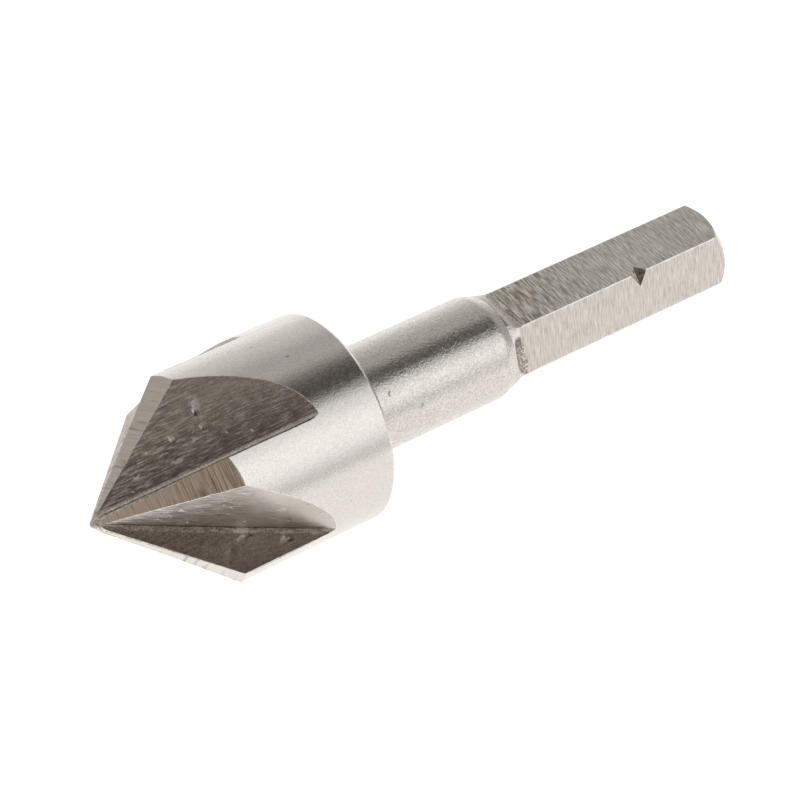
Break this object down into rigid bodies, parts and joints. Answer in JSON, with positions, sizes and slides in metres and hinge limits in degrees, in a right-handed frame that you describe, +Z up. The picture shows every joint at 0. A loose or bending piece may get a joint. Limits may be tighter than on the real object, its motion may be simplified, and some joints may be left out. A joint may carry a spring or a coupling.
{
  "type": "countersink bit",
  "caption": "Steel countersink bit: fluted 90 degree cone on a round head, a thinner neck and a hex shank with a V notch across a corner.",
  "frame": {"origin": "centre of the bounding box in plan, on the ground that the bit lies on", "axes": "+Z up, +X from the point towards the shank, level; the bit's axis runs 7.5 degrees below +X, and +Y is across it"},
  "size_m": [0.0534, 0.0152, 0.0161],
  "materials": {
    "tool_steel": "satin ground and tumbled"
  },
  "bodies": {
    "root": {"countersink": "tool_steel"}
  },
  "joints": []
}
